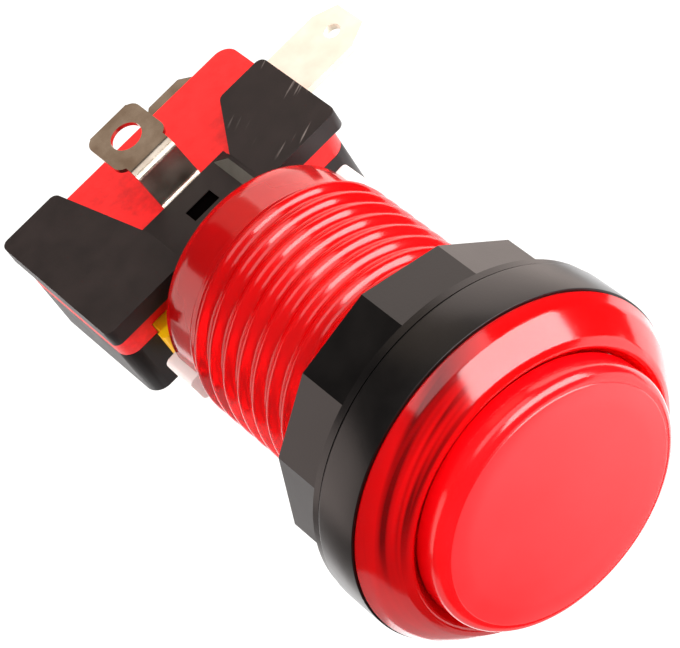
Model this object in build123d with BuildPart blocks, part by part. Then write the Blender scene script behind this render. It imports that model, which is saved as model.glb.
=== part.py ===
# Illuminated arcade push button, in millimetres.
# Origin: centre of the bezel's back face, +Z out through the cap.
# The switch lies along X, and the eared plate of the lamp holder faces -Y.
import os
from math import asin, cos, sin
from build123d import *

os.makedirs("parts", exist_ok=True)

# Fits
run_gap = 0.06          # radial clearance of a running fit
seat_gap = 0.05         # clearance of pieces that are pushed together
free_gap = 0.3          # clearance of faces that only pass each other
cap_gap = 0.1           # around the cap in its recess

# Bezel and barrel
bezel_r = 16.0
bezel_edge_h = 1.15     # height of the straight outer edge
bezel_lip_h = 3.6       # top of the lip
bezel_lip_r = 13.35     # crown of the lip
bezel_break = 0.25
crown_w = 0.55          # lip rounding, outward and down
crown_d = 0.2
lip_drop = 0.65
recess_floor = 0.9      # floor of the recess that the cap sinks into
thread_r = 11.8         # over the thread crests
thread_pitch = 2.1
thread_d = 0.75
crest_w = 0.35
root_w = 0.3
thread_top = 1.2        # the thread stops this far behind the bezel
thread_out = 2.1        # and runs out this far into the collar
thread_over = 0.12      # the cutting profile stands above the crests
bore_r = 9.2
edge_break = 0.4        # chamfer on the barrel's rear edges
barrel_l = 34.6         # from the bezel's back face to the rear rim
collar_r = 10.9         # plain end of the barrel
collar_l = 4.2
collar_run = 0.9        # taper up to the thread
slot_l = 3.35           # leg slots, open at the rear rim
legs_turn = 5.0         # degrees the legs are turned against the switch

# Cap and plunger
travel = 2.0
cap_r = 12.4
cap_top = 6.3
cap_shoulder = 1.1
cap_step = 0.12         # the face stands this much above the shoulder
cap_wall = 1.4
tube_r = 8.75
tube_wall = 1.4
head_web = 1.5          # floor under the head
land_h = 2.2
tube_over = 2.0         # tube end above the lamp tower
ledge_up = 11.4         # spring ledge above the tube end
ledge_h = 1.4
ledge_w = 1.75
leg_w = 3.0
leg_t = 1.55
foot_out = 11.95        # tips of the barbs, from the axis
foot_over = 1.0         # barbs behind the barrel's rear rim
foot_round = 0.5
leg_side_gap = 0.2

# Lamp holder
plug_l = 6.1            # plug inside the barrel
tower_r = 5.7
tower_h = 6.5
plate_t = 2.0
web_step = 1.0          # the web lies this much below the ears
plate_set = 2.2         # front edge of the ears behind the barrel
ear_over = 0.35         # ears past the ends of the switch
ear_round = 0.8
ear_left_short = 0.5    # ears end this far before the rear of the switch
ear_right_short = 6.5
ear_left_in = 7.45      # inner rear corners of the ears, from the axis
ear_right_in = 8.9
web_left = 4.9          # sides of the web, from the axis
web_right = 5.4
web_l = 9.5             # web behind the barrel
ear_in_l = 7.65         # inner corners of the ears behind the barrel
web_lap = 0.1
neck_x = 6.0
neck_l = 4.2            # from the barrel to the front of the switch
far_web_t = 1.8
far_web_x = 3.6
window_w = 3.0
window_h = 1.6
window_back = 6.4
window_d = 0.35

# Lamp contact strips
strip_t = 0.45
strip_w = 4.6
strip_x = -0.3
strip_knee = 0.6        # the strips bend out from just above the plug
strip_set = 2.4         # and run straight again from this far behind its face
jog_l = 1.8             # steep step from the web out to the eye
bend_r = 1.2
eye_w = 6.0
eye_l = 6.0
eye_round = 1.2
eye_short = 1.4         # eyes end this far before the rear of the switch
eye_near_out = 2.4      # eyes stand off the plate and the far web by this
eye_far_out = 3.25
eye_hole_r = 1.55
lamp_w = 9.4            # wedge base, along X
lamp_t = 4.4
lamp_lift = 0.3         # wedge base above the plug's front face
lamp_base_h = 9.2
lens_r = 4.4
lens_h = 7.8
dome_h = 3.0
lead_d = 0.5
lead_l = 5.3
lead_up = 0.3
lamp_round = 0.6

# Panel nut and spacer ring
ring_r = 16.9
ring_h = 4.55
ring_front = -0.05
ring_round = 0.75       # front edge
ring_break = 0.2
nut_sides = 12
nut_corner_r = 15.3
nut_turn = -2.5         # degrees to the first corner
nut_h = 7.1
nut_blend = 0.55        # fillet from the flats to the flange
nut_break = 0.6
flange_over = 1.15      # flange past the corners
flange_t = 0.8

# Switch, of the common 27.8 by 15.9 by 10.3 mm kind
sw_l = 27.8
sw_t = 10.3
sw_h = 15.9
sw_near = -4.25
sw_split = 0.0
sw_wall = 1.3
sw_corner = 1.6
hole_r = 1.55
hole_in = 2.8           # holes in from the two edges
boss_wall = 1.25
peg_gap = 0.08
peg_short = 0.5
pin_x = 8.85
pin_w = 3.6             # head of the actuator
pin_d = 6.0
pin_head_t = 1.1
stem_w = 2.6
stem_d = 4.2
pin_l = 6.58
pin_gap = 0.08          # in the case's opening
pin_top_gap = 0.02      # under the plunger's foot
pin_round = 0.5
pin_flange_t = 0.9
pin_flange_over = 0.45
tab_w = 6.3
tab_t = 0.8
tab_y = 0.5
tab_hole_r = 0.85
tab_nose = 1.2          # corner cut on a tab's end
com_in = 6.35           # rear tab, in from the end of the switch
com_l = 6.0
com_hole = 2.2          # eye from the tab's end
rail_t = 1.3
post_w = 1.4
post_in = 7.7           # post, in from the end of the switch
seat_d = 2.0            # depth of the blade's seat on the post
no_up = 3.75            # end tab above the rear of the switch
no_l = 10.5
no_nose = 2.4
no_hole = 2.4
arm_t = 2.2
flange_l = 4.0          # fixed contact's flange
flange_w = 4.4
blade_up = 8.5          # blade above the rear of the switch
blade_w = 5.0
blade_t = 0.3
root_r = 0.45           # rolled root that the blade turns on
root_in = 2.3           # root, in from the end of the switch
blade_in = 3.6          # tip, in from the other end
blade_slot_l = 9.0
blade_slot_x = 1.0
blade_rim = 1.3
tongue_h = 1.15
tongue_rim = 1.5
tongue_lap = 0.4
rivet_in = 4.9
rivet_r = 1.4
rivet_h = 0.7
contact_gap = 0.65

# Return spring
spring_r = 6.5
spring_wire = 0.7
spring_turns = 5

# Places that follow from the sizes, front to rear
crown_r = bezel_lip_r + crown_w
crown_h = bezel_lip_h - crown_d
recess_r = cap_r + cap_gap
barrel_rear = -barrel_l
slot_front = barrel_rear + slot_l
plug_top = barrel_rear + plug_l
tower_top = plug_top + tower_h
lamp_base_rear = plug_top + lamp_lift
lamp_base_top = lamp_base_rear + lamp_base_h
lens_top = lamp_base_top + lens_h
cap_skirt = recess_floor + travel + seat_gap
head_r = cap_r - cap_wall - seat_gap
tube_in_r = tube_r - tube_wall
tube_end = tower_top + tube_over
ledge_top = tube_end + ledge_up
leg_in = tube_in_r
leg_out = leg_in + leg_t
foot_tip = barrel_rear - foot_over
ring_rear = ring_front - ring_h
nut_rear = ring_rear - nut_h
flange_r = nut_corner_r + flange_over
sw_front = barrel_rear - neck_l
sw_rear = sw_front - sw_h
sw_far = sw_near + sw_t
sw_end = sw_l / 2
sw_mid_y = (sw_near + sw_far) / 2
sw_mid_z = (sw_front + sw_rear) / 2
hole_spots = [(sw_end - hole_in, sw_rear + hole_in), (hole_in - sw_end, sw_front - hole_in)]
plate_in = sw_near - seat_gap
plate_y = plate_in - plate_t
plate_front = barrel_rear - plate_set
web_y = plate_y + web_step
web_rear = barrel_rear - web_l
ear_x = sw_end + ear_over
far_web_y = sw_far + free_gap
strip_near_y = plate_in - strip_t / 2 - seat_gap
strip_far_y = far_web_y + strip_t / 2 + seat_gap
eye_rear = sw_rear + eye_short
eye_front = eye_rear + eye_l
eye_near_y = plate_y - eye_near_out
eye_far_y = far_web_y + eye_far_out
hinge_x = sw_end - root_in
hinge_z = sw_rear + blade_up + blade_t / 2
blade_z = hinge_z - blade_t / 2
rivet_x = rivet_in - sw_end
com_x = com_in - sw_end
com_end = sw_rear - com_l
no_end = -sw_end - no_l
no_z = sw_rear + no_up
arm_top = blade_z - contact_gap - 2 * rivet_h
turned = Plane.XY.rotated((0, 0, legs_turn))


def save(solid, name):
    solid.label = name
    export_step(solid, "parts/" + name + ".step")


def strip_points(side, y_in, eye_y, end_z):
    # path of a lamp strip in the YZ plane, from the lamp lead to the rear
    lead_y = side * (lamp_t / 2 + lead_d + strip_t / 2 + seat_gap)
    return [(lead_y, tower_top - strip_t), (lead_y, plug_top + strip_knee), (y_in, plug_top - strip_set),
            (y_in, web_rear - strip_t), (eye_y, web_rear - strip_t - jog_l), (eye_y, end_z)]


near_path = strip_points(-1, strip_near_y, eye_near_y, eye_rear)
far_path = strip_points(1, strip_far_y, eye_far_y, eye_rear)


# Housing: one turned profile, bezel at the top, barrel below it
with BuildPart() as housing:
    with BuildSketch(Plane.XZ):
        with BuildLine():
            Polyline((bore_r, barrel_rear + edge_break), (bore_r + edge_break, barrel_rear),
                     (collar_r - edge_break, barrel_rear), (collar_r, barrel_rear + edge_break),
                     (collar_r, barrel_rear + collar_l), (thread_r, barrel_rear + collar_l + collar_run),
                     (thread_r, 0), (bezel_r - bezel_break, 0), (bezel_r, bezel_break),
                     (bezel_r, bezel_edge_h), (crown_r, crown_h))
            ThreePointArc((crown_r, crown_h), (bezel_lip_r, bezel_lip_h),
                          (recess_r, bezel_lip_h - lip_drop))
            Polyline((recess_r, bezel_lip_h - lip_drop), (recess_r, recess_floor),
                     (bore_r + edge_break, recess_floor), (bore_r, recess_floor - edge_break),
                     (bore_r, barrel_rear + edge_break))
        make_face()
    revolve(axis=Axis.Z)
    # the thread: one groove, wound from the collar up to the bezel
    groove_rear = barrel_rear + collar_l + collar_run - thread_out
    with BuildLine():
        winding = Helix(pitch=thread_pitch, height=-thread_top - groove_rear, radius=thread_r,
                        center=(0, 0, groove_rear))
    flank = (thread_pitch - crest_w - root_w) / 2 / thread_d
    groove_half = root_w / 2 + flank * (thread_d + thread_over)
    with BuildSketch(Plane(origin=winding @ 0, x_dir=(1, 0, 0), z_dir=winding % 0)):
        with BuildLine():
            Polyline((-thread_d, -root_w / 2), (thread_over, -groove_half), (thread_over, groove_half),
                     (-thread_d, root_w / 2), close=True)
        make_face()
    sweep(is_frenet=True, mode=Mode.SUBTRACT)
    # slots that let the plunger's barbs out through the plain collar
    with BuildSketch(turned.offset(slot_front)):
        with PolarLocations(collar_r, 2):
            Rectangle(2 * (collar_r - bore_r) + 2 * free_gap, leg_w + 2 * leg_side_gap)
    extrude(amount=-slot_l - seat_gap, mode=Mode.SUBTRACT)
save(housing.part, "housing")

# Cap: a shallow cup with a rounded shoulder and a fine step around its face
with BuildPart() as cap:
    with BuildSketch(Plane.XY.offset(cap_skirt)):
        Circle(cap_r)
    extrude(amount=cap_top - cap_step - cap_skirt)
    fillet(cap.faces().sort_by(Axis.Z)[-1].edges(), radius=cap_shoulder)
    with BuildSketch(Plane.XY.offset(cap_top - cap_step)):
        Circle(cap_r - cap_shoulder)
    extrude(amount=cap_step, taper=45)
    with BuildSketch(Plane.XY.offset(cap_skirt)):
        Circle(cap_r - cap_wall)
    extrude(amount=cap_top - cap_wall - cap_skirt, mode=Mode.SUBTRACT)
save(cap.part, "cap")

# Plunger: head, guide tube with two running lands, spring ledge, two barbed legs
with BuildPart() as plunger:
    with BuildSketch(Plane.XY.offset(cap_skirt)):
        Circle(head_r)
    extrude(amount=cap_top - cap_wall - seat_gap - cap_skirt)
    with BuildSketch(Plane.XY.offset(tube_end)):
        Circle(tube_r)
    extrude(amount=cap_skirt - tube_end)
    for land in (tube_end, recess_floor - edge_break - travel - land_h):
        with BuildSketch(Plane.XY.offset(land)):
            Circle(bore_r - run_gap)
        extrude(amount=land_h)
    with BuildSketch(Plane.XY.offset(tube_end)):
        Circle(tube_in_r)
    extrude(amount=cap_top - cap_wall - head_web - tube_end, mode=Mode.SUBTRACT)
    with BuildSketch(Plane.XY.offset(ledge_top)):
        Circle(tube_in_r + tube_wall / 2)
        Circle(tube_in_r - ledge_w, mode=Mode.SUBTRACT)
    extrude(amount=-ledge_h)
    with BuildSketch(turned.offset(tube_end + land_h)):
        with PolarLocations((leg_in + leg_out) / 2, 2):
            Rectangle(leg_out - leg_in, leg_w)
    extrude(amount=foot_tip - tube_end - land_h)
    with BuildSketch(turned.offset(slot_front - seat_gap)):
        with PolarLocations((leg_in + foot_out) / 2, 2):
            Rectangle(foot_out - leg_in, leg_w)
    extrude(amount=foot_tip - slot_front + seat_gap)
    tips = plunger.edges().filter_by(Axis.Z).filter_by(lambda e: e.center().Z < slot_front)
    tips = tips.filter_by(lambda e: (e.center().X ** 2 + e.center().Y ** 2) ** 0.5 > collar_r)
    fillet(tips, radius=foot_round)
    ends = plunger.faces().sort_by(Axis.Z)[:2].edges()
    ends = ends.filter_by(lambda e: (e.center().X ** 2 + e.center().Y ** 2) ** 0.5 > collar_r + foot_round)
    chamfer(ends, length=foot_round)
save(plunger.part, "plunger")

# Return spring: flat end rings and an open helix of square wire between them
spring_low = plug_top + seat_gap
spring_high = ledge_top - ledge_h - seat_gap
helix_h = spring_high - spring_low - spring_wire
with BuildPart() as return_spring:
    for ring_z in (spring_low, spring_high - spring_wire):
        with BuildSketch(Plane.XY.offset(ring_z)):
            Circle(spring_r + spring_wire / 2)
            Circle(spring_r - spring_wire / 2, mode=Mode.SUBTRACT)
        extrude(amount=spring_wire)
    with BuildLine():
        coil = Helix(pitch=helix_h / spring_turns, height=helix_h, radius=spring_r,
                     center=(0, 0, spring_low + spring_wire / 2))
    with BuildSketch(Plane(origin=coil @ 0, x_dir=(1, 0, 0), z_dir=coil % 0)):
        Rectangle(spring_wire * 0.98, spring_wire * 0.98)
    sweep(is_frenet=True)
save(return_spring.part, "return_spring")

# Panel nut: twelve flats that run out into a thin round flange
with BuildPart() as nut:
    with BuildSketch(Plane.XY.offset(nut_rear)):
        RegularPolygon(nut_corner_r, nut_sides, rotation=nut_turn)
    extrude(amount=ring_rear - flange_t - nut_rear)
    with BuildSketch(Plane.XY.offset(ring_rear - flange_t)):
        Circle(flange_r)
    extrude(amount=flange_t - seat_gap)
    root = nut.edges().filter_by(Axis.Z, reverse=True)
    root = root.filter_by(lambda e: abs(e.center().Z - ring_rear + flange_t) < 0.01)
    root = root.filter_by(GeomType.LINE)
    fillet(root, radius=nut_blend)
    with BuildSketch(Plane.XY.offset(nut_rear)):
        Circle(thread_r + run_gap)
    extrude(amount=ring_rear - nut_rear, mode=Mode.SUBTRACT)
    chamfer(nut.faces().sort_by(Axis.Z)[0].edges().filter_by(GeomType.CIRCLE), length=nut_break)
save(nut.part, "nut")

# Spacer ring
with BuildPart() as spacer_ring:
    with BuildSketch(Plane.XY.offset(ring_rear)):
        Circle(ring_r)
        Circle(thread_r + run_gap, mode=Mode.SUBTRACT)
    extrude(amount=ring_front - ring_rear)
    fillet(spacer_ring.edges().group_by(Axis.Z)[-1].sort_by(SortBy.LENGTH)[-1], radius=ring_round)
    chamfer(spacer_ring.edges().group_by(Axis.Z)[0].sort_by(SortBy.LENGTH)[-1], length=ring_break)
save(spacer_ring.part, "spacer_ring")

# Lamp holder: plug and lamp tower in the barrel, neck, eared plate with two pegs
with BuildPart() as lamp_holder:
    with BuildSketch(Plane.XY.offset(barrel_rear - seat_gap)):
        Circle(bore_r - seat_gap)
    extrude(amount=plug_top - barrel_rear + seat_gap)
    with BuildSketch(Plane.XY.offset(plug_top)):
        Circle(tower_r)
    extrude(amount=tower_top - plug_top)
    with BuildSketch(Plane.XY.offset(sw_front + seat_gap)):
        with Locations((0, (web_y + far_web_y + far_web_t) / 2)):
            Rectangle(2 * neck_x, far_web_y + far_web_t - web_y)
    extrude(amount=neck_l - 2 * seat_gap)
    # ears on the near side, joined by the thinner web
    with BuildSketch(Plane.XZ.offset(-plate_in)):
        with BuildLine():
            Polyline((ear_x, plate_front), (ear_x, sw_rear + ear_left_short),
                     (ear_left_in, sw_rear + ear_left_short), (web_left - web_lap, barrel_rear - ear_in_l),
                     (web_left - web_lap, plate_front), (ear_x, plate_front))
        make_face()
        with BuildLine():
            Polyline((-ear_x, plate_front), (-ear_x, sw_rear + ear_right_short),
                     (-ear_right_in, sw_rear + ear_right_short), (web_lap - web_right, barrel_rear - ear_in_l),
                     (web_lap - web_right, plate_front), (-ear_x, plate_front))
        make_face()
    extrude(amount=plate_t)
    corners = lamp_holder.edges().filter_by(Axis.Y)
    corners = corners.filter_by(lambda e: abs(e.center().X) > neck_x + ear_round and e.center().Y < plate_in)
    fillet(corners, radius=ear_round)
    with BuildSketch(Plane.XZ.offset(-plate_in)):
        with Locations(((web_left - web_right) / 2, (web_rear + barrel_rear) / 2)):
            Rectangle(web_left + web_right, web_l - 2 * seat_gap)
    extrude(amount=plate_t - web_step)
    # far web that backs the second lamp strip
    with BuildSketch(Plane.XZ.offset(-far_web_y - far_web_t)):
        with Locations((strip_x, (web_rear + barrel_rear) / 2)):
            Rectangle(2 * far_web_x, web_l - 2 * seat_gap)
    extrude(amount=far_web_t)
    # pegs for the switch
    with BuildSketch(Plane.XZ.offset(-sw_far + peg_short)):
        with Locations(*hole_spots):
            Circle(hole_r - peg_gap)
    extrude(amount=sw_far - peg_short - plate_in)
    # lamp socket, strip channels, leg slots and the blind window in the web
    with BuildSketch(Plane.XY.offset(lamp_base_rear - seat_gap)):
        Rectangle(lamp_w + 2 * seat_gap, lamp_t + 2 * lead_d + 4 * seat_gap)
    extrude(amount=tower_top - lamp_base_rear + 2 * seat_gap, mode=Mode.SUBTRACT)
    for path in (near_path, far_path):
        with BuildSketch(Plane.YZ.offset(strip_x - strip_w / 2 - seat_gap)):
            with BuildLine():
                FilletPolyline(*path, radius=bend_r)
            trace(line_width=strip_t + 2 * seat_gap)
        extrude(amount=strip_w + 2 * seat_gap, mode=Mode.SUBTRACT)
    with BuildSketch(turned.offset(plug_top + seat_gap)):
        with PolarLocations((leg_in + foot_out) / 2, 2):
            Rectangle(foot_out - leg_in + 2 * free_gap, leg_w + 2 * leg_side_gap)
    extrude(amount=foot_tip - travel - plug_top - free_gap, mode=Mode.SUBTRACT)
    with BuildSketch(Plane.XZ.offset(-web_y - window_d)):
        with Locations((strip_x, barrel_rear - window_back)):
            Rectangle(window_w, window_h)
    extrude(amount=2 * window_d, mode=Mode.SUBTRACT)
save(lamp_holder.part, "lamp_holder")

# Lamp contact strips: one bent profile each, widened to a solder eye at the rear
for name, path, eye_y in (("lamp_terminal_near", near_path, eye_near_y),
                          ("lamp_terminal_far", far_path, eye_far_y)):
    with BuildPart() as strip:
        with BuildSketch(Plane.YZ.offset(strip_x - strip_w / 2)):
            with BuildLine():
                FilletPolyline(*path, radius=bend_r)
            trace(line_width=strip_t)
        extrude(amount=strip_w)
        with BuildSketch(Plane.XZ.offset(-eye_y - strip_t / 2)):
            with Locations((strip_x, (eye_front + eye_rear) / 2)):
                RectangleRounded(eye_w, eye_l, eye_round)
        extrude(amount=strip_t)
        with BuildSketch(Plane.XZ.offset(-eye_y - strip_t / 2)):
            with Locations((strip_x, (eye_front + eye_rear) / 2)):
                Circle(eye_hole_r)
        extrude(amount=strip_t, mode=Mode.SUBTRACT)
    save(strip.part, name)

# Lamp: wedge base, domed body, two folded leads
with BuildPart() as lamp_base:
    with BuildSketch(Plane.XY.offset(lamp_base_rear)):
        Rectangle(lamp_w, lamp_t)
    extrude(amount=lamp_base_top - lamp_base_rear)
    fillet(lamp_base.edges().filter_by(Axis.Z), radius=lamp_round)
save(lamp_base.part, "lamp_base")

dome_r = (lens_r ** 2 + dome_h ** 2) / (2 * dome_h)
dome_half = asin(lens_r / dome_r) / 2
with BuildPart() as lamp_lens:
    with BuildSketch(Plane.XZ):
        with BuildLine():
            Polyline((0, lens_top), (0, lamp_base_top), (lens_r, lamp_base_top),
                     (lens_r, lens_top - dome_h))
            ThreePointArc((lens_r, lens_top - dome_h),
                          (dome_r * sin(dome_half), lens_top - dome_r * (1 - cos(dome_half))),
                          (0, lens_top))
        make_face()
    revolve(axis=Axis.Z)
save(lamp_lens.part, "lamp_lens")

for name, side in (("lamp_lead_near", -1), ("lamp_lead_far", 1)):
    with BuildPart() as lead:
        with BuildSketch(Plane.XY.offset(lamp_base_rear + lead_up)):
            with Locations((0, side * (lamp_t / 2 + lead_d / 2))):
                Rectangle(2 * lead_d, lead_d)
        extrude(amount=lead_l)
    save(lead.part, name)


# Switch case halves: the same outline, each hollowed from the parting plane
def case_half(y0, y1, floor_y, far):
    with BuildPart() as half:
        with BuildSketch(Plane.XZ.offset(-y1)):
            with Locations((0, sw_mid_z)):
                RectangleRounded(sw_l, sw_h, sw_corner)
        extrude(amount=y1 - y0)
        open_y, deep = (floor_y, floor_y - y0) if far else (y1, y1 - floor_y)
        with BuildSketch(Plane.XZ.offset(-open_y)):
            with Locations((0, sw_mid_z)):
                Rectangle(sw_l - 2 * sw_wall, sw_h - 2 * sw_wall)
            with Locations(*hole_spots):
                Circle(hole_r + boss_wall, mode=Mode.SUBTRACT)
        extrude(amount=deep, mode=Mode.SUBTRACT)
        with BuildSketch(Plane.XZ.offset(-y1)):
            with Locations(*hole_spots):
                Circle(hole_r)
        extrude(amount=y1 - y0, mode=Mode.SUBTRACT)
        # opening for the actuator in the front wall
        with BuildSketch(Plane.XY.offset(sw_front)):
            with Locations((pin_x, sw_mid_y)):
                Rectangle(stem_w + 2 * pin_gap, stem_d + 2 * pin_gap)
        extrude(amount=-sw_wall, mode=Mode.SUBTRACT)
        # openings for the two terminals
        with BuildSketch(Plane.XZ.offset(-tab_y - tab_t - seat_gap)):
            with Locations((com_x, sw_rear + sw_wall / 2)):
                Rectangle(tab_w + 2 * seat_gap, sw_wall + 4 * seat_gap)
            with Locations((sw_wall / 2 - sw_end, no_z)):
                Rectangle(sw_wall + 4 * seat_gap, tab_w + 2 * seat_gap)
        extrude(amount=tab_y + tab_t + seat_gap, mode=Mode.SUBTRACT)
    return half.part


save(case_half(sw_split + seat_gap / 2, sw_far, sw_far - sw_wall, True), "switch_base")
save(case_half(sw_near, sw_split - seat_gap / 2, sw_near + sw_wall, False), "switch_cover")

# Actuator: flat head under the plunger's foot, stem, and a flange that keeps it in the case
with BuildPart() as switch_pin:
    with BuildSketch(Plane.XY.offset(foot_tip - pin_top_gap)):
        with Locations((pin_x, sw_mid_y)):
            Rectangle(pin_w, pin_d)
    extrude(amount=-pin_head_t)
    fillet(switch_pin.faces().sort_by(Axis.Z)[-1].edges().filter_by(Axis.Y), radius=pin_round)
    with BuildSketch(Plane.XY.offset(foot_tip - pin_top_gap)):
        with Locations((pin_x, sw_mid_y)):
            Rectangle(stem_w, stem_d)
    extrude(amount=-pin_l)
    with BuildSketch(Plane.XY.offset(sw_front - sw_wall - 2 * seat_gap)):
        with Locations((pin_x, sw_mid_y)):
            Rectangle(stem_w + 2 * pin_flange_over, stem_d)
    extrude(amount=-pin_flange_t)
save(switch_pin.part, "switch_pin")

# Common terminal: rear tab, rail along the rear wall, post with the notch for the blade's root
rail_z0 = sw_rear + sw_wall + 2 * seat_gap
rail_z1 = rail_z0 + rail_t
seat_x = sw_end - sw_wall - 2 * seat_gap
post_x = sw_end - post_in
with BuildPart() as terminal_com:
    with BuildSketch(Plane.XZ.offset(-tab_y - tab_t)):
        with BuildLine():
            Polyline((com_x - tab_w / 2, rail_z1), (com_x - tab_w / 2, com_end + tab_nose),
                     (com_x - tab_w / 2 + tab_nose, com_end), (com_x + tab_w / 2 - tab_nose, com_end),
                     (com_x + tab_w / 2, com_end + tab_nose), (com_x + tab_w / 2, rail_z0),
                     (post_x + post_w, rail_z0), (post_x + post_w, hinge_z - seat_d),
                     (seat_x, hinge_z - seat_d), (seat_x, hinge_z), (hinge_x, hinge_z),
                     (hinge_x, hinge_z - root_r), (post_x, hinge_z - root_r - blade_t),
                     (post_x, rail_z1), (com_x - tab_w / 2, rail_z1))
        make_face()
        with Locations((hinge_x, hinge_z)):
            Circle(root_r + run_gap, mode=Mode.SUBTRACT)
        with Locations((com_x, com_end + com_hole)):
            Circle(tab_hole_r, mode=Mode.SUBTRACT)
    extrude(amount=tab_t)
save(terminal_com.part, "terminal_com")

# Second terminal: long end tab, inner arm and a flange for the fixed contact
with BuildPart() as terminal_no:
    with BuildSketch(Plane.XZ.offset(-tab_y - tab_t)):
        with BuildLine():
            Polyline((sw_wall - sw_end, no_z - tab_w / 2), (no_end + no_nose, no_z - tab_w / 2),
                     (no_end, no_z - tab_w / 2 + tab_nose), (no_end, no_z + tab_w / 2 - tab_nose),
                     (no_end + no_nose, no_z + tab_w / 2), (sw_wall - sw_end, no_z + tab_w / 2),
                     (sw_wall - sw_end, arm_top), (rivet_x + flange_l / 2, arm_top),
                     (rivet_x + flange_l / 2, arm_top - arm_t), (sw_wall - sw_end, arm_top - arm_t),
                     (sw_wall - sw_end, no_z - tab_w / 2))
        make_face()
        with Locations((no_end + no_hole, no_z)):
            Circle(tab_hole_r, mode=Mode.SUBTRACT)
    extrude(amount=tab_t)
    with BuildSketch(Plane.XY.offset(arm_top)):
        with Locations((rivet_x, sw_mid_y)):
            Rectangle(flange_l, flange_w)
    extrude(amount=-tab_t)
save(terminal_no.part, "terminal_no")

with BuildPart() as fixed_contact:
    with BuildSketch(Plane.XY.offset(arm_top)):
        with Locations((rivet_x, sw_mid_y)):
            Circle(rivet_r)
    extrude(amount=rivet_h)
save(fixed_contact.part, "fixed_contact")

# Blade: rolled root, contact arm with a slot, and the bowed tongue in it
blade_tip = blade_in - sw_end
slot_x0 = blade_slot_x - blade_slot_l / 2
slot_x1 = blade_slot_x + blade_slot_l / 2
with BuildPart() as blade:
    with BuildSketch(Plane.XY.offset(blade_z)):
        with Locations(((hinge_x + blade_tip) / 2, sw_mid_y)):
            Rectangle(hinge_x - blade_tip, blade_w)
        with Locations((blade_slot_x, sw_mid_y)):
            Rectangle(blade_slot_l, blade_w - 2 * blade_rim, mode=Mode.SUBTRACT)
    extrude(amount=blade_t)
    with BuildSketch(Plane.XZ.offset(-sw_mid_y - blade_w / 2)):
        with Locations((hinge_x, hinge_z)):
            Circle(root_r)
    extrude(amount=blade_w)
    with BuildSketch(Plane.XZ.offset(-sw_mid_y - blade_w / 2 + tongue_rim)):
        with BuildLine():
            ThreePointArc((slot_x1 + tongue_lap, hinge_z), (blade_slot_x, hinge_z + tongue_h),
                          (slot_x0 + tongue_h, hinge_z + blade_t))
        trace(line_width=blade_t)
    extrude(amount=blade_w - 2 * tongue_rim)
save(blade.part, "blade")

with BuildPart() as moving_contact:
    with BuildSketch(Plane.XY.offset(blade_z - rivet_h)):
        with Locations((rivet_x, sw_mid_y)):
            Circle(rivet_r)
    extrude(amount=rivet_h)
save(moving_contact.part, "moving_contact")
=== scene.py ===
# Illuminated arcade push button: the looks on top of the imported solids, in metres.
# +Z runs out through the cap, the switch lies along X, the eared plate faces -Y.
import math
import bmesh
import bpy
from mathutils import Matrix, Vector


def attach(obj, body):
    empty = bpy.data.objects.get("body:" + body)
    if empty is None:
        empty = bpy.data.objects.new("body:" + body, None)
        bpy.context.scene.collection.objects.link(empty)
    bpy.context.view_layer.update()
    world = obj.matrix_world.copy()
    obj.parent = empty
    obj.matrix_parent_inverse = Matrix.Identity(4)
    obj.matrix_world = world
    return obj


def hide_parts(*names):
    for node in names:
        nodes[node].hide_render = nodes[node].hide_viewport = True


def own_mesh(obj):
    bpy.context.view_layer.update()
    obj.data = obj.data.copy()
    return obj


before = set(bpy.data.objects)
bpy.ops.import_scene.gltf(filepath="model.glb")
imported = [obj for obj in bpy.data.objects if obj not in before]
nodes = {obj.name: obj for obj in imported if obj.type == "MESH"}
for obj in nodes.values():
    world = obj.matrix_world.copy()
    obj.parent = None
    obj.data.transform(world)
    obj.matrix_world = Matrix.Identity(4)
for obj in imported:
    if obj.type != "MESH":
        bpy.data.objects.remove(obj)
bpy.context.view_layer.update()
mm = 0.001
print("frame loaded:", len(nodes), "nodes")


def linear(hexColour):
    # sRGB hex to the linear colour that the sockets take
    parts = [int(hexColour[i:i + 2], 16) / 255 for i in (1, 3, 5)]
    return tuple(c / 12.92 if c <= 0.04045 else ((c + 0.055) / 1.055) ** 2.4 for c in parts) + (1.0,)


def perMetre(sizeMm):
    # texture scale for a pattern of this size, on object coordinates in metres
    return 1 / (sizeMm * mm)


def addNode(tree, kind, settings=None, links=None):
    # settings: value of each socket or property; links: the output that feeds each socket
    node = tree.nodes.new(kind)
    for key, value in (settings or {}).items():
        if isinstance(key, int) or key in node.inputs:
            node.inputs[key].default_value = value
        else:
            setattr(node, key, value)
    for key, output in (links or {}).items():
        tree.links.new(output, node.inputs[key])
    return node


def startMaterial(name, shaderSettings):
    material = bpy.data.materials.new(name)
    material.use_nodes = True
    tree = material.node_tree
    tree.nodes.clear()
    shader = addNode(tree, "ShaderNodeBsdfPrincipled", shaderSettings)
    addNode(tree, "ShaderNodeOutputMaterial", links={"Surface": shader.outputs["BSDF"]})
    return material, tree, shader


def together(tree, shares):
    # one share out of several, by multiplying them
    product = shares[0]
    for share in shares[1:]:
        both = addNode(tree, "ShaderNodeMath", {"operation": "MULTIPLY"}, {0: product, 1: share})
        product = both.outputs["Value"]
    return product


# Mix node for each shader socket that is painted over: data type, its two value sockets and its result
mixSockets = {"Base Color": ("RGBA", 6, 7, 2), "Roughness": ("FLOAT", 2, 3, 0)}


def paintOver(tree, shader, socket, share, value):
    # blends what feeds this socket of the shader towards another value
    kind, first, second, result = mixSockets[socket]
    before = shader.inputs[socket].links[0].from_socket
    mix = addNode(tree, "ShaderNodeMix", {"data_type": kind, second: value}, {0: share, first: before})
    tree.links.new(mix.outputs[result], shader.inputs[socket])


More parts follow.
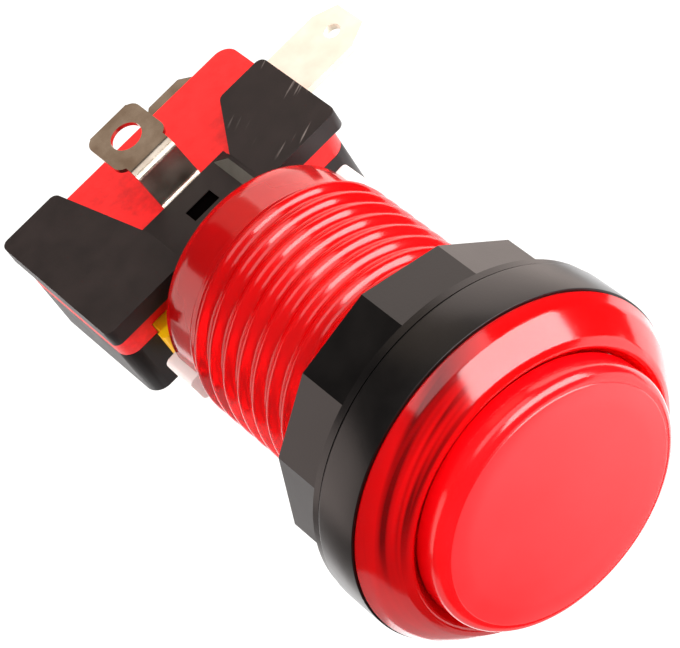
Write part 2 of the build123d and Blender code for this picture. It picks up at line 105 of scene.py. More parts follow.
def wander(tree, shader, noise, stops, dark, light, rough):
    # colour and gloss that wander together with one noise
    tint = addNode(tree, "ShaderNodeValToRGB", links={"Fac": noise.outputs["Fac"]})
    for element, stop, colour in zip(tint.color_ramp.elements, stops, (dark, light)):
        element.position = stop
        element.color = linear(colour)
    tree.links.new(tint.outputs["Color"], shader.inputs["Base Color"])
    gloss = addNode(tree, "ShaderNodeMapRange", {"To Min": rough[0], "To Max": rough[1]},
                    {"Value": noise.outputs["Fac"]})
    tree.links.new(gloss.outputs["Result"], shader.inputs["Roughness"])


def relief(tree, shader, vector, grainMm, liftMm, strength):
    # fine unevenness that the light catches; grains under about 0.2 mm wouldn't show, so most are coarser
    grain = addNode(tree, "ShaderNodeTexNoise", {"Scale": perMetre(grainMm), "Detail": 2.0},
                    {"Vector": vector})
    bump = addNode(tree, "ShaderNodeBump", {"Strength": strength, "Distance": liftMm * mm},
                   {"Height": grain.outputs["Fac"]})
    tree.links.new(bump.outputs["Normal"], shader.inputs["Normal"])


def mottle(tree, shader, flowMm, dark, light, rough, grainMm, liftMm):
    # moulded or drawn surface: faint flow marks in colour, uneven gloss and a fine grain
    place = addNode(tree, "ShaderNodeTexCoord").outputs["Object"]
    flow = addNode(tree, "ShaderNodeTexNoise", {"Scale": perMetre(flowMm), "Detail": 3.0, "Roughness": 0.6},
                   {"Vector": place})
    wander(tree, shader, flow, stops=(0.3, 0.72), dark=dark, light=light, rough=rough)
    relief(tree, shader, place, grainMm, liftMm, strength=0.35)
    return place


# Clear red moulding, the same for barrel and bezel, sizes in mm
clearRedLook = {
    "flowMm": 6.0, "dark": "#FA0206", "light": "#FF060C", "rough": (0.09, 0.16),
    "grainMm": 0.9, "liftMm": 0.01,
}

# Barrel's finish, which changes along the axis, places in mm
barrelLook = {
    "polishedZ": -27.0, "rubbedZ": -18.0, "dullBy": 0.03,
    "plugZ": -32.0, "wallZ": -24.0, "clearAtPlug": 0.77, "clearAtWall": 0.6,
}


def clearRedBarrel(s):
    # polished clear red moulding: deep saturated body, and dark things inside show through
    material, tree, shader = startMaterial("clear red polycarbonate polished", {
        "IOR": 1.58, "Subsurface Weight": 0.3, "Subsurface Scale": 1.0,
        "Subsurface Radius": (3.0 * mm, 0.15 * mm, 0.15 * mm)})
    place = mottle(tree, shader, **clearRedLook)
    height = addNode(tree, "ShaderNodeSeparateXYZ", links={"Vector": place}).outputs["Z"]
    # polished on the collar, rubbed a little duller along the thread by the nut
    rubbed = addNode(tree, "ShaderNodeMapRange", {
        "From Min": s["polishedZ"] * mm, "From Max": s["rubbedZ"] * mm, "To Max": s["dullBy"],
    }, {"Value": height})
    gloss = shader.inputs["Roughness"].links[0].from_socket
    dull = addNode(tree, "ShaderNodeMath", {"operation": "ADD"}, {0: gloss, 1: rubbed.outputs["Result"]})
    tree.links.new(dull.outputs["Value"], shader.inputs["Roughness"])
    # clearest round the black plug at the rear end, fuller where the wall is thick
    clear = addNode(tree, "ShaderNodeMapRange", {
        "From Min": s["plugZ"] * mm, "From Max": s["wallZ"] * mm,
        "To Min": s["clearAtPlug"], "To Max": s["clearAtWall"],
    }, {"Value": height})
    tree.links.new(clear.outputs["Result"], shader.inputs["Transmission Weight"])
    return material


# Painted shade in the bezel: dark rings painted into its colour where the black ring behind would show
# through, sizes in mm
bezelLook = {
    "ringGap": 1.1, "ringDrift": 0.06, "ringFrom": 0.4, "ringFull": 0.57, "paintedRingShadeShare": 0.92,
    "paintedRingShade": "#6C0002", "slopeFrom": 13.4, "slopeFull": 13.9,
    "paintedShadeSide": (0.55, -0.835, 0.0), "sideFrom": 10.5, "sideFull": 14.0, "otherSide": 0.16,
}


def clearRedBezel(s):
    # the same moulding where the black ring lies behind it: the dark rings are painted shade in its colour,
    # standing for the black ring seen through; thin edges glow
    material, tree, shader = startMaterial("clear red polycarbonate with painted shade rings", {
        "IOR": 1.58, "Transmission Weight": 0.5, "Subsurface Weight": 0.6, "Subsurface Scale": 1.0,
        "Subsurface Radius": (4.0 * mm, 0.15 * mm, 0.15 * mm)})
    place = mottle(tree, shader, **clearRedLook)
    # rings round the axis, from a noise along the radius that drifts a little on the way round
    spot = addNode(tree, "ShaderNodeSeparateXYZ", links={"Vector": place})
    flat = addNode(tree, "ShaderNodeCombineXYZ", links={"X": spot.outputs["X"], "Y": spot.outputs["Y"]})
    radius = addNode(tree, "ShaderNodeVectorMath", {"operation": "LENGTH"}, {0: flat.outputs["Vector"]})
    drift = addNode(tree, "ShaderNodeVectorMath", {"operation": "SCALE", "Scale": s["ringDrift"]},
                    {0: place})
    lane = addNode(tree, "ShaderNodeVectorMath", {"operation": "ADD"},
                   {0: radius.outputs["Value"], 1: drift.outputs["Vector"]})
    ring = addNode(tree, "ShaderNodeTexNoise", {"Scale": perMetre(s["ringGap"]), "Detail": 1.0},
                   {"Vector": lane.outputs["Vector"]})
    depth = addNode(tree, "ShaderNodeMapRange", {
        "From Min": s["ringFrom"], "From Max": s["ringFull"], "To Max": s["paintedRingShadeShare"],
    }, {"Value": ring.outputs["Fac"]})
    # painted shade only on the slope outside the lip, strongest towards one side of the moulding and weaker
    # where the highlights lie
    slope = addNode(tree, "ShaderNodeMapRange", {
        "From Min": s["slopeFrom"] * mm, "From Max": s["slopeFull"] * mm,
    }, {"Value": radius.outputs["Value"]})
    side = addNode(tree, "ShaderNodeVectorMath", {"operation": "DOT_PRODUCT", 1: s["paintedShadeSide"]},
                   {0: flat.outputs["Vector"]})
    shadeBySide = addNode(tree, "ShaderNodeMapRange", {
        "From Min": s["sideFrom"] * mm, "From Max": s["sideFull"] * mm, "To Min": s["otherSide"],
    }, {"Value": side.outputs["Value"]})
    share = together(tree, [part.outputs["Result"] for part in (depth, slope, shadeBySide)])
    # painted shade: the dark rings are painted into the base colour
    paintOver(tree, shader, "Base Color", share, linear(s["paintedRingShade"]))
    return material


def clearRedCapSide():
    # the same moulding where it stands over the white head: brighter, less see-through
    material, tree, shader = startMaterial("clear red polycarbonate over white", {
        "IOR": 1.58, "Transmission Weight": 0.25})
    mottle(tree, shader, flowMm=5.0, dark="#F8040C", light="#FF0812", rough=(0.13, 0.19),
           grainMm=0.9, liftMm=0.01)
    return material


def etchedRedFace():
    # fine-etched cap face: broad pale sheen over the red; its grain is drawn coarser than a real etch
    material, tree, shader = startMaterial("etched red polycarbonate", {"IOR": 1.58})
    mottle(tree, shader, flowMm=7.0, dark="#E8141A", light="#EE1C22", rough=(0.3, 0.37),
           grainMm=0.35, liftMm=0.008)
    return material


def whiteAcetal():
    # plain white moulding, slightly warm and waxy
    material, tree, shader = startMaterial("white acetal moulded", {
        "IOR": 1.48, "Subsurface Weight": 0.15, "Subsurface Scale": 1.0,
        "Subsurface Radius": (0.6 * mm, 0.5 * mm, 0.4 * mm)})
    mottle(tree, shader, flowMm=4.0, dark="#EADAD6", light="#F3E7E3", rough=(0.3, 0.42),
           grainMm=0.5, liftMm=0.01)
    return material


# Rubs from handling on the holder's ear at -X, sizes in mm: a noise drawn out on a slant, cut to thin lines
rubSet = {
    "colour": "#847871", "grain": 0.45, "stretch": 14.0, "slant": -0.38, "lineFrom": 0.65, "lineFull": 0.75,
    "earFrom": -7.0, "earFull": -9.0, "earShare": 0.75, "faceFrom": -6.1, "faceFull": -6.28,
}


def rubPale(tree, shader, place, s):
    # a few thin pale rubs, about 0.2 mm wide and some millimetres long, only on the ear's outer face
    slant = addNode(tree, "ShaderNodeMapping", {
        "vector_type": "TEXTURE", "Rotation": (0.0, s["slant"], 0.0), "Scale": (s["stretch"], 1.0, 1.0),
    }, {"Vector": place})
    rub = addNode(tree, "ShaderNodeTexNoise", {"Scale": perMetre(s["grain"]), "Detail": 1.0},
                  {"Vector": slant.outputs["Vector"]})
    spot = addNode(tree, "ShaderNodeSeparateXYZ", links={"Vector": place})
    ear = addNode(tree, "ShaderNodeMapRange", {
        "From Min": s["earFrom"] * mm, "From Max": s["earFull"] * mm, "To Max": s["earShare"],
    }, {"Value": spot.outputs["X"]})
    face = addNode(tree, "ShaderNodeMapRange", {
        "From Min": s["faceFrom"] * mm, "From Max": s["faceFull"] * mm,
    }, {"Value": spot.outputs["Y"], "To Max": ear.outputs["Result"]})
    line = addNode(tree, "ShaderNodeMapRange", {"From Min": s["lineFrom"], "From Max": s["lineFull"]},
                   {"Value": rub.outputs["Fac"], "To Max": face.outputs["Result"]})
    paintOver(tree, shader, "Base Color", line.outputs["Result"], linear(s["colour"]))


# Painted shade in the window of the holder's web: its middle and half its size along each axis, in mm
windowShadeSet = {
    "box": {"X": (-0.3, 1.5), "Y": (-4.97, 0.25), "Z": (-41.0, 0.8)}, "colour": "#030202", "rough": 1.0,
}


def paintWindowShade(tree, shader, place, s):
    # painted shade: the window's floor and walls are painted near black, dead matt and without sheen, to
    # stand for the unlit hollow
    spot = addNode(tree, "ShaderNodeSeparateXYZ", links={"Vector": place})
    within = []
    for axis, (middle, half) in s["box"].items():
        near = addNode(tree, "ShaderNodeMath", {"operation": "COMPARE", 1: middle * mm, 2: half * mm},
                       {0: spot.outputs[axis]})
        within.append(near.outputs["Value"])
    inside = together(tree, within)
    paintOver(tree, shader, "Base Color", inside, linear(s["colour"]))
    paintOver(tree, shader, "Roughness", inside, s["rough"])
    level = shader.inputs["Specular IOR Level"].default_value
    sheen = addNode(tree, "ShaderNodeMath", {"operation": "MULTIPLY_ADD", 1: -level, 2: level}, {0: inside})
    tree.links.new(sheen.outputs["Value"], shader.inputs["Specular IOR Level"])


def blackMoulding(name, dark, light, rough, rubs=None, windowShade=None):
    # satin to matt black moulding: soft grey sheen towards the light, near black away from it
    material, tree, shader = startMaterial(name, {"IOR": 1.54, "Specular IOR Level": 0.45})
    place = mottle(tree, shader, flowMm=3.0, dark=dark, light=light, rough=rough,
                   grainMm=0.22, liftMm=0.012)
    if rubs:
        rubPale(tree, shader, place, rubs)
    # painted shade in the window of the web
    if windowShade:
        paintWindowShade(tree, shader, place, windowShade)
    return material


def redNylon():
    # satin red moulding with faint sink marks
    material, tree, shader = startMaterial("red nylon moulded", {"IOR": 1.53, "Specular IOR Level": 0.3})
    mottle(tree, shader, flowMm=1.5, dark="#D40D0C", light="#FC1614", rough=(0.42, 0.58),
           grainMm=0.8, liftMm=0.1)
    return material


def yellowAcetal():
    # clean yellow moulding, slightly waxy
    material, tree, shader = startMaterial("yellow acetal moulded", {"IOR": 1.48})
    mottle(tree, shader, flowMm=3.0, dark="#F7B400", light="#FFCA08", rough=(0.3, 0.4),
           grainMm=0.5, liftMm=0.01)
    return material


# Plated brass: dull patches and rolling lines, sizes in mm
plateLook = {
    "patch": 2.5, "stops": (0.35, 0.7), "line": 0.12, "lineSquash": 0.12, "lift": 0.006, "strength": 0.25,
}


def platedBrass(name, dark, light, rough, metal, s):
    # stamped and plated brass: warm grey metal with fine rolling lines and dull patches
    material, tree, shader = startMaterial(name, {"Metallic": metal})
    place = addNode(tree, "ShaderNodeTexCoord").outputs["Object"]
    patch = addNode(tree, "ShaderNodeTexNoise", {"Scale": perMetre(s["patch"]), "Detail": 4.0},
                    {"Vector": place})
    wander(tree, shader, patch, s["stops"], dark, light, rough)
    rolled = addNode(tree, "ShaderNodeMapping", {"Scale": (1.0, 1.0, s["lineSquash"])}, {"Vector": place})
    relief(tree, shader, rolled.outputs["Vector"], s["line"], s["lift"], s["strength"])
    return material


def springSteel():
    # drawn wire: bright grey with a fine grain from the die
    material, tree, shader = startMaterial("spring steel drawn wire", {"Metallic": 1.0})
    mottle(tree, shader, flowMm=2.0, dark="#8E8C8A", light="#B4B2AF", rough=(0.25, 0.4),
           grainMm=0.1, liftMm=0.004)
    return material


def clearLamp():
    # clear moulded lamp body: glossy, faintly warm and nearly see-through
    material, tree, shader = startMaterial("clear lamp polycarbonate", {
        "IOR": 1.58, "Transmission Weight": 0.85})
    mottle(tree, shader, flowMm=4.0, dark="#F4F2EE", light="#FFFFFF", rough=(0.05, 0.1),
           grainMm=0.6, liftMm=0.005)
    return material


def contactBronze():
    # rolled spring bronze: warm yellow metal, evenly bright
    material, tree, shader = startMaterial("spring bronze rolled", {"Metallic": 1.0})
    mottle(tree, shader, flowMm=2.0, dark="#B08A54", light="#CDA86C", rough=(0.25, 0.4),
           grainMm=0.15, liftMm=0.005)
    return material


finish = {
    "clearRed": clearRedBarrel(barrelLook),
    "bezelRed": clearRedBezel(bezelLook),
    "capSide": clearRedCapSide(),
    "capFace": etchedRedFace(),
    "white": whiteAcetal(),
    "nutBlack": blackMoulding("black ABS satin", "#080606", "#0F0C0B", (0.26, 0.36)),
    "holderBlack": blackMoulding("black nylon matt", "#191110", "#231816", (0.42, 0.58), rubSet, windowShadeSet),
    # painted light: pale grey for the ear root's slope, where the light falls
    "paintedLightBlack": blackMoulding("black nylon painted pale light", "#4A463F", "#5B574E", (0.45, 0.6)),
    "caseBlack": blackMoulding("black phenolic moulded", "#191110", "#231816", (0.42, 0.58)),
    "redNylon": redNylon(),
    "yellow": yellowAcetal(),
    "nickel": platedBrass("nickel-plated brass stamped", "#A89888", "#CFC4B6", (0.15, 0.26), 1.0,
                          plateLook),
    "tin": platedBrass("tin-plated brass", "#E4DBC9", "#EFE9D8", (0.4, 0.55), 0.45, plateLook),
    "wire": springSteel(),
    "lamp": clearLamp(),
    "bronze": contactBronze(),
}
print("materials made:", len(finish))

# Joining of points, in metres, and edge rounds, for all pieces
joinGap = 1e-7
edgeSet = {"weld": 1e-6, "segments": 2, "angle": 40}


def inScene(name, data):
    thing = bpy.data.objects.new(name, data)
    bpy.context.scene.collection.objects.link(thing)
    return thing


def newPiece(name, points, faces, kinds, body, sharpDeg):
    mesh = bpy.data.meshes.new(name)
    mesh.from_pydata(points, [], faces)
    bm = bmesh.new()
    bm.from_mesh(mesh)
    bmesh.ops.remove_doubles(bm, verts=bm.verts, dist=joinGap)
    bmesh.ops.dissolve_degenerate(bm, edges=bm.edges, dist=joinGap)
    bmesh.ops.recalc_face_normals(bm, faces=bm.faces)
    bm.to_mesh(mesh)
    bm.free()
    mesh.shade_smooth()
    mesh.set_sharp_from_angle(angle=math.radians(sharpDeg))
    piece = inScene(name, mesh)
    for kind in kinds:
        mesh.materials.append(finish[kind])
    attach(piece, body)
    return piece


def softenEdges(piece, widthMm, s):
    # the small rounds that a mould or a press tool leaves
    soft = piece.modifiers.new("softEdges", "BEVEL")
    soft.width = widthMm * mm
    soft.segments = s["segments"]
    soft.limit_method = "ANGLE"
    soft.angle_limit = math.radians(s["angle"])
    soft.harden_normals = True


def onTurn(r, z, step, steps):
    # point of a turned shape, from (r, z) in mm and its step of a full turn
    turn = 2 * math.pi * step / steps
    return r * math.cos(turn) * mm, r * math.sin(turn) * mm, z * mm


def latheFaces(rows, columns, start=0):
    # quads between closed rings of points
    faces = []
    for i in range(rows - 1):
        for j in range(columns):
            a = start + i * columns + j
            b = start + i * columns + (j + 1) % columns
            faces.append((a, b, b + columns, a + columns))
    return faces


def sheetFaces(rows, columns):
    # quads between rows that run past their own start; the last row joins the first
    width = columns + 1
    faces = []
    for i in range(rows):
        for j in range(columns):
            a, b = i * width + j, ((i + 1) % rows) * width + j
            faces.append((a, a + 1, b + 1, b))
    return faces


def arcPoints(centre, radius, startDeg, endDeg, steps):
    # points of an arc in the (r, z) plane, in mm
    turn = [math.radians(startDeg + (endDeg - startDeg) * i / steps) for i in range(steps + 1)]
    return [(centre[0] + radius * math.cos(t), centre[1] + radius * math.sin(t)) for t in turn]


# Housing: bezel, threaded barrel and plain collar as one clear moulding, sizes in mm
housingSet = {
    "columns": 192, "sharp": 35,
    # thread with a rounded profile that fades out at both ends
    "pitch": 2.1, "crest": 11.8, "root": 11.2, "firstCrest": -30.55, "threadTop": -0.6, "threadEnd": -30.3,
    "fade": 1.0, "rowsPerTurn": 14,
    # collar with rounded rear edges, which are three points each, and its rows up to the thread
    "boreR": 9.2, "collarR": 10.9, "rear": -34.6, "rearEdge": 0.4, "rearEdgeMid": 0.12,
    "collarRows": (1.5, 2.8, 4.0),
    # the bezel's outer edge is drafted, widest at the back
    "neck": 0.35, "backR": 16.45, "backEdge": 0.25, "backEdgeMid": 0.07, "bezelR": 16.0, "edgeH": 1.15,
    "browIn": 0.1, "browH": 0.12,
    # its slope runs up to the lip round the recess
    "slopeRows": 8, "slopeBulge": 0.05, "slopeOut": 0.5, "slopeDown": 0.14,
    "lipR": 13.35, "lipH": 3.6, "lipRound": 0.42, "lipFromDeg": 50, "lipToDeg": 165, "lipRows": 8,
    "recessR": 12.5, "recessTop": 0.7, "recessFloor": 0.9, "recessEdge": 0.15, "boreEdge": 0.4,
    # faces above this height have the bezel's finish
    "bezelZ": -0.02,
    # leg slots: the cutter is deeper than the wall and runs past the rear end
    "slotFront": -31.25, "slotW": 3.4, "slotTurn": 5.0, "slotDeep": 4.0, "slotPast": 1.0,
}


def threadRows(s):
    # rows that follow the helix, each at one place of the profile; at both ends they close on a plain ring
    rows = []
    turns = int((s["threadTop"] - s["threadEnd"]) / s["pitch"]) + 3     # enough to run past both ends
    for turn in range(-1, turns):
        for step in range(s["rowsPerTurn"]):
            share = step / s["rowsPerTurn"]
            lift = 0.5 + 0.5 * math.cos(2 * math.pi * share)
            row = []
            for j in range(s["columns"] + 1):
                z = s["firstCrest"] + (turn + share + j / s["columns"]) * s["pitch"]
                z = min(s["threadTop"], max(s["threadEnd"], z))
                fade = min(1.0, (z - s["threadEnd"]) / s["fade"], (s["threadTop"] - z) / s["fade"])
                row.append((s["root"] + (s["crest"] - s["root"]) * lift * fade, z))
            rows.append(row)
    return rows


def housingRings(s):
    # the section from the bore's rear edge out, forward and back into the bore, each ring a row of (r, z)
    bore, collar, back, recess = s["boreR"], s["collarR"], s["backR"], s["recessR"]
    rear, floor = s["rear"], s["recessFloor"]
    rings = []

    def plain(*section):
        rings.extend([spot] * (s["columns"] + 1) for spot in section)

    edge, middle = s["rearEdge"], s["rearEdgeMid"]
    plain((bore, rear + edge), (bore + middle, rear + middle), (bore + edge, rear))
    plain((collar - edge, rear), (collar - middle, rear + middle), (collar, rear + edge))
    plain(*((collar, rear + up) for up in s["collarRows"]))
    rings.extend(threadRows(s))
    plain((s["root"], -s["neck"]), (s["root"] + s["neck"], 0))
    edge, middle = s["backEdge"], s["backEdgeMid"]
    plain((back - edge, 0), (back - middle, middle), (back, edge))
    plain((s["bezelR"], s["edgeH"] - s["browH"]))
    low = (s["bezelR"] - s["browIn"], s["edgeH"] + s["browH"])
    high = (s["lipR"] + s["slopeOut"], s["lipH"] - s["slopeDown"])
    for i in range(s["slopeRows"] + 1):
        t = i / s["slopeRows"]
        bulge = s["slopeBulge"] * math.sin(math.pi * t)
        plain(tuple(a + (b - a) * t + bulge for a, b in zip(low, high)))
    lip = (s["lipR"], s["lipH"] - s["lipRound"])
    plain(*arcPoints(lip, s["lipRound"], s["lipFromDeg"], s["lipToDeg"], s["lipRows"]))
    plain((recess, s["lipH"] - s["recessTop"]), (recess, floor + s["recessEdge"]))
    plain((recess - s["recessEdge"], floor), (bore + s["boreEdge"], floor), (bore, floor - s["boreEdge"]))
    return rings


def cutSlots(piece, s):
    # the two leg slots go through the collar's wall
    cutter = bmesh.new()
    low = s["rear"] - s["slotPast"]
    size = Matrix.Diagonal((s["slotDeep"] * mm, s["slotW"] * mm, (s["slotFront"] - low) * mm, 1))
    place = Matrix.Translation((s["collarR"] * mm, 0, (s["slotFront"] + low) / 2 * mm))
    for side in (0, 180):
        spin = Matrix.Rotation(math.radians(s["slotTurn"] + side), 4, "Z")
        bmesh.ops.create_cube(cutter, size=1.0, matrix=spin @ place @ size)
    cutMesh = bpy.data.meshes.new("slotCutter")
    cutter.to_mesh(cutMesh)
    cutter.free()
    cutObject = inScene("slotCutter", cutMesh)
    cut = piece.modifiers.new("slots", "BOOLEAN")
    cut.object = cutObject
    cut.solver = "EXACT"
    bpy.context.view_layer.update()
    ready = piece.evaluated_get(bpy.context.evaluated_depsgraph_get())
    carved = bpy.data.meshes.new_from_object(ready)
    piece.modifiers.clear()
    piece.data = carved
    carved.set_sharp_from_angle(angle=math.radians(s["sharp"]))
    bpy.data.objects.remove(cutObject)


def buildHousing(s):
    rings = housingRings(s)
    points = [onTurn(r, z, j, s["columns"]) for ring in rings for j, (r, z) in enumerate(ring)]
    faces = sheetFaces(len(rings), s["columns"])
    piece = newPiece("threadedHousing", points, faces, ["clearRed", "bezelRed"], "base",
                     s["sharp"])
    cutSlots(piece, s)
    for face in piece.data.polygons:
        if face.center.z > s["bezelZ"] * mm:
            face.material_index = 1
    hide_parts("housing")
    return piece


housing = buildHousing(housingSet)
print("housing:", len(housing.data.polygons), "faces")

# Cap: a cup with a round shoulder, a fine step and a nearly flat face, sizes in mm
capSet = {
    "columns": 192, "sharp": 24, "r": 12.46, "wall": 1.4, "skirt": 2.95, "skirtEdge": 0.15, "top": 6.3,
    "shoulder": 1.1, "shoulderRows": 10,
    # the step at the face's rim, and the crown of the face
    "step": 0.12, "stepIn": 0.04, "stepDraft": 0.05, "stepEase": 0.03,
    "faceIn": 0.12, "faceRows": 6, "crown": 0.22, "etchIn": 0.02,
}


def addDome(points, faces, section, tipZ, columns):
    # turned rows that close in a point on the axis
    start = len(points)
    points += [onTurn(r, z, j, columns) for r, z in section for j in range(columns)]
    faces += latheFaces(len(section), columns, start)
    tip = len(points)
    last = tip - columns
    points.append((0, 0, tipZ * mm))
    faces += [(last + j, last + (j + 1) % columns, tip) for j in range(columns)]


def buildCap(s):
    r, skirt, top, shoulder, step = s["r"], s["skirt"], s["top"], s["shoulder"], s["step"]
    shelf = top - s["crown"] - step
    rim = r - shoulder - s["stepIn"]
    inside = r - s["wall"]
    section = [(inside, skirt), (r - s["skirtEdge"], skirt), (r, skirt + s["skirtEdge"])]
    section += arcPoints((r - shoulder, shelf - shoulder), shoulder, 0, 90, s["shoulderRows"])
    section += [(rim, shelf + s["stepEase"]), (rim - s["stepDraft"], shelf + step - s["stepEase"])]
    for i in range(s["faceRows"]):
        out = 1 - i / s["faceRows"]
        section.append(((rim - s["faceIn"]) * out, top - s["crown"] * out ** 2))
    points, faces = [], []
    addDome(points, faces, section, top, s["columns"])
    roof = top - s["wall"]
    addDome(points, faces, [(inside, skirt), (inside, roof)], roof, s["columns"])
    piece = newPiece("capLens", points, faces, ["capSide", "capFace"], "button", s["sharp"])
    # only the face inside its rim is etched
    for face in piece.data.polygons:
        middle = face.center
        if middle.z > shelf * mm and math.hypot(middle.x, middle.y) < (rim - s["etchIn"]) * mm:
            face.material_index = 1
    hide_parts("cap")
    return piece


cap = buildCap(capSet)
print("cap:", len(cap.data.polygons), "faces")

# Return spring: round wire, closed ends, sizes in mm
springSet = {
    "meanR": 6.5, "wire": 0.7, "low": -28.45, "high": -10.05, "turns": 9.0, "endTurns": 1.0,
    "stepsPerTurn": 40, "around": 10, "sharp": 50,
    "keep": 0.891,      # share of its length that is left at full press
}


def buildSpring(s):
    around, endTurns, wireR = s["around"], s["endTurns"], s["wire"] / 2
    low, high = s["low"] + wireR, s["high"] - wireR
    total = s["turns"] + 2 * endTurns
    steps = int(total * s["stepsPerTurn"])
    points = []
    for i in range(steps + 1):
        turns = i / s["stepsPerTurn"]
        rise = min(1.0, max(0.0, (turns - endTurns) / s["turns"]))
        dead = s["wire"] * (min(turns, endTurns) + max(0.0, turns - total + endTurns))
        z = low + dead + (high - low - 2 * s["wire"] * endTurns) * rise
        for j in range(around):
            ring = 2 * math.pi * j / around
            points.append(onTurn(s["meanR"] + wireR * math.cos(ring), z + wireR * math.sin(ring),
                                 i, s["stepsPerTurn"]))
    faces = latheFaces(steps + 1, around)
    faces += [tuple(end * around + j for j in range(around)) for end in (0, steps)]
    piece = newPiece("returnCoil", points, faces, ["wire"], "base", s["sharp"])
    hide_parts("return_spring")
    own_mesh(piece)
    return piece


spring = buildSpring(springSet)
print("spring:", len(spring.data.polygons), "faces")

# Spacer ring: hangs on the thread between the bezel and the nut, very slightly barrelled, sizes in mm
ringSet = {
    "columns": 192, "sharp": 40, "r": 16.6, "boreR": 11.9, "front": -0.05, "rear": -4.6,
    "edge": 0.05, "edgeRows": 3, "rearEdge": 0.3, "rearEdgeRows": 5, "belly": 0.02,
}


def buildRing(s):
    columns, r, bore, front, rear = s["columns"], s["r"], s["boreR"], s["front"], s["rear"]
    edge, rearEdge = s["edge"], s["rearEdge"]
    section = [(bore, rear + edge), (bore + edge, rear)]
    section += arcPoints((r - rearEdge, rear + rearEdge), rearEdge, -90, 0, s["rearEdgeRows"])
    section += [(r + s["belly"], (front + rear) / 2)]
    section += arcPoints((r - edge, front - edge), edge, 0, 90, s["edgeRows"])
    section += [(bore + edge, front), (bore, front - edge)]
    section.append(section[0])
    points = [onTurn(spotR, z, j, columns) for spotR, z in section for j in range(columns)]
    faces = latheFaces(len(section), columns)
    piece = newPiece("spacerRing", points, faces, ["nutBlack"], "ring", s["sharp"])
    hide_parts("spacer_ring")
    return piece


ring = buildRing(ringSet)
print("ring:", len(ring.data.polygons), "faces")

# Sloped root from the holder's web up to the ear at -X, sizes in mm
rootSet = {
    "footX": -3.97, "crestX": -4.9, "earX": -5.35, "webY": -5.25, "earY": -6.29,
    "footRear": -44.0, "crestRear": -42.0, "front": -36.8, "edge": 0.08, "sharp": 35,
}


def buildEarRoot(s):
    points = []
    for x, y, rear in ((s["footX"], s["webY"], s["footRear"]), (s["crestX"], s["earY"], s["crestRear"])):
        corners = ((x, rear), (x, s["front"]), (s["earX"], s["front"]), (s["earX"], rear))
        points += [(cornerX * mm, y * mm, z * mm) for cornerX, z in corners]
    faces = [(0, 1, 2, 3), (7, 6, 5, 4)]
    faces += [(i, (i + 1) % 4, (i + 1) % 4 + 4, i + 4) for i in range(4)]
    piece = newPiece("earRoot", points, faces, ["holderBlack", "paintedLightBlack"], "base",
                     s["sharp"])
    # only its slope, the one face that looks both to +X and to -Y, gets painted light: pale grey where the
    # light falls on it
    for face in piece.data.polygons:
        if face.normal.x > 0.5 and face.normal.y < -0.5:
            face.material_index = 1
    softenEdges(piece, s["edge"], edgeSet)
    return piece


earRoot = buildEarRoot(rootSet)
print("ear root:", len(earRoot.data.polygons), "faces")

# Carried-over solids: each gets its finish, and moulded or stamped edges get a small round, in mm
dress = {
    "plunger": ("white", 0.12), "nut": ("nutBlack", 0.0), "lamp_holder": ("holderBlack", 0.16),
    "lamp_terminal_near": ("nickel", 0.0), "lamp_terminal_far": ("nickel", 0.0),
    "lamp_base": ("white", 0.1), "lamp_lens": ("lamp", 0.0),
    "lamp_lead_near": ("nickel", 0.05), "lamp_lead_far": ("nickel", 0.05),
    "switch_base": ("caseBlack", 0.3), "switch_cover": ("redNylon", 0.3), "switch_pin": ("yellow", 0.12),
    "terminal_com": ("nickel", 0.08), "terminal_no": ("tin", 0.0), "blade": ("bronze", 0.0),
    "moving_contact": ("bronze", 0.1), "fixed_contact": ("bronze", 0.1),
}
for name, (kind, roundMm) in dress.items():
    piece = nodes[name]
    for materialSlot in piece.material_slots:
        materialSlot.material = finish[kind]
    if roundMm:
        weld = piece.modifiers.new("joinedEdges", "WELD")
        weld.merge_threshold = edgeSet["weld"]
        softenEdges(piece, roundMm, edgeSet)
print("carried-over solids dressed:", len(dress))

# Camera at the photograph's viewing angle, rolled as there
cameraSet = {
    "position": (0.038348, -0.208287, 0.155899), "lens": 170.0, "sensor": 36.0, "clip": 0.01,
    "right": (-0.69995, 0.38811, 0.59953), "up": (-0.70038, -0.53729, -0.46988),
    "back": (0.13975, -0.74880, 0.64790),
}


def facing(right, up, back, position):
    # places a camera or a lamp by its three axes
    axes = Matrix((right, up, back)).transposed().to_4x4()
    return Matrix.Translation(position) @ axes


def buildCamera(s):
    data = bpy.data.cameras.new("camera")
    data.lens = s["lens"]
    data.sensor_width = s["sensor"]
    data.clip_start = s["clip"]
    camera = inScene("camera", data)
    camera.matrix_world = facing(s["right"], s["up"], s["back"], s["position"])
    bpy.context.scene.camera = camera


buildCamera(cameraSet)
print("camera set")

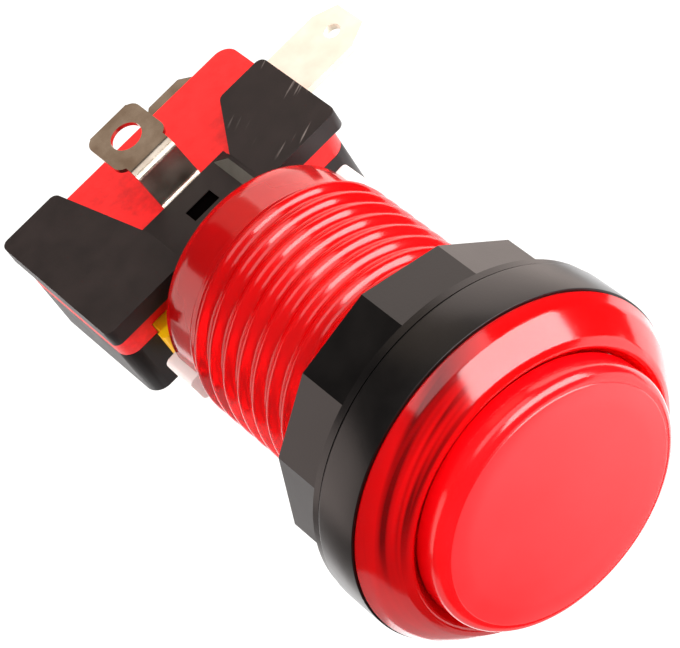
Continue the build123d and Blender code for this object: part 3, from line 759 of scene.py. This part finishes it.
# Studio: pale floor well below, soft boxes where the photograph's highlights point, in metres
studioSet = {
    "floorZ": -1.2, "floorHalf": 6.0, "paper": "#F7F6F4", "paperRough": 0.9, "paperGlow": 0.25,
    "tentFill": 1.0, "tentGloss": 0.05, "white": "#FFFFFF", "distance": 0.4,
    "boxes": {
        # name: (direction to the box, direction of its long side, long, short, radiance, colour)
        "keyBox": ((-0.59, -0.45, 0.63), (-0.82, 0.59, -0.29), 0.46, 0.26, 8.5, "#FFFFFF"),
        "sideBox": ((-0.59, 0.79, -0.24), (0.31, 0.29, -0.33), 0.40, 0.40, 2.0, "#FFFFFF"),
        "backBox": ((-0.57, 0.58, 0.58), (1.0, 0.2, 0.0), 0.40, 0.24, 1.6, "#FFFFFF"),
        "cardLeft": ((-0.755, -0.13, -0.64), (-0.17, 0.98, 0.0), 0.50, 0.30, 2.0, "#FFEEE6"),
        "cardFront": ((-0.24, -0.73, -0.64), (0.95, -0.31, 0.0), 0.20, 0.30, 0.5, "#FFE6D0"),
        "cardRight": ((0.75, -0.13, -0.64), (0.17, 0.98, 0.0), 0.30, 0.26, 1.6, "#FFEBE4"),
        "cardBack": ((0.55, 0.54, -0.64), (0.7, -0.71, 0.0), 0.26, 0.30, 0.35, "#FFEBE4"),
        "farCard": ((0.25, 0.93, -0.15), (0.96, -0.26, 0.0), 1.0, 0.42, 0.55, "#FFFFFF"),
        "cardLow": ((0.14, 0.75, -0.65), (1.0, -0.15, 0.0), 0.34, 0.30, 1.6, "#FFFFFF"),
        "frontBox": ((-0.14, -0.97, 0.17), (1.0, -0.14, 0.0), 0.40, 0.24, 1.8, "#FFFFFF"),
    },
}


def buildFloor(s):
    half, z = s["floorHalf"], s["floorZ"]
    mesh = bpy.data.meshes.new("floor")
    mesh.from_pydata([(-half, -half, z), (half, -half, z), (half, half, z), (-half, half, z)], [],
                     [(0, 1, 2, 3)])
    floor = inScene("floor", mesh)
    # backdrop paper, with a faint glow so that it stays white under the object
    paper = startMaterial("white backdrop paper", {
        "Base Color": linear(s["paper"]), "Roughness": s["paperRough"],
        "Emission Color": linear(s["white"]), "Emission Strength": s["paperGlow"]})[0]
    mesh.materials.append(paper)
    floor.visible_glossy = False


def buildBoxes(s):
    for name, (towards, along, longSide, shortSide, radiance, colour) in s["boxes"].items():
        light = bpy.data.lights.new(name, "AREA")
        light.shape = "RECTANGLE"
        light.size, light.size_y = longSide, shortSide
        light.energy = radiance * math.pi * longSide * shortSide
        light.color = linear(colour)[:3]
        box = inScene(name, light)
        away = Vector(towards).normalized()
        side = Vector(along)
        side = (side - away * side.dot(away)).normalized()
        box.matrix_world = facing(side, away.cross(side), away, away * s["distance"])
        box.visible_camera = False


def buildTent(s):
    world = bpy.data.worlds.new("whiteTent")
    bpy.context.scene.world = world
    world.use_nodes = True
    tree = world.node_tree
    sky = tree.nodes["Background"]
    sky.inputs["Color"].default_value = linear(s["white"])
    # the tent fills the shadows, but reflections see it much darker, as a dim room
    ray = addNode(tree, "ShaderNodeLightPath")
    dim = addNode(tree, "ShaderNodeMapRange", {"To Min": s["tentFill"], "To Max": s["tentGloss"]},
                  {"Value": ray.outputs["Is Glossy Ray"]})
    tree.links.new(dim.outputs["Result"], sky.inputs["Strength"])


buildFloor(studioSet)
buildBoxes(studioSet)
buildTent(studioSet)
bpy.context.scene.view_settings.view_transform = "Standard"
bpy.context.scene.view_settings.look = "None"
print("studio set")
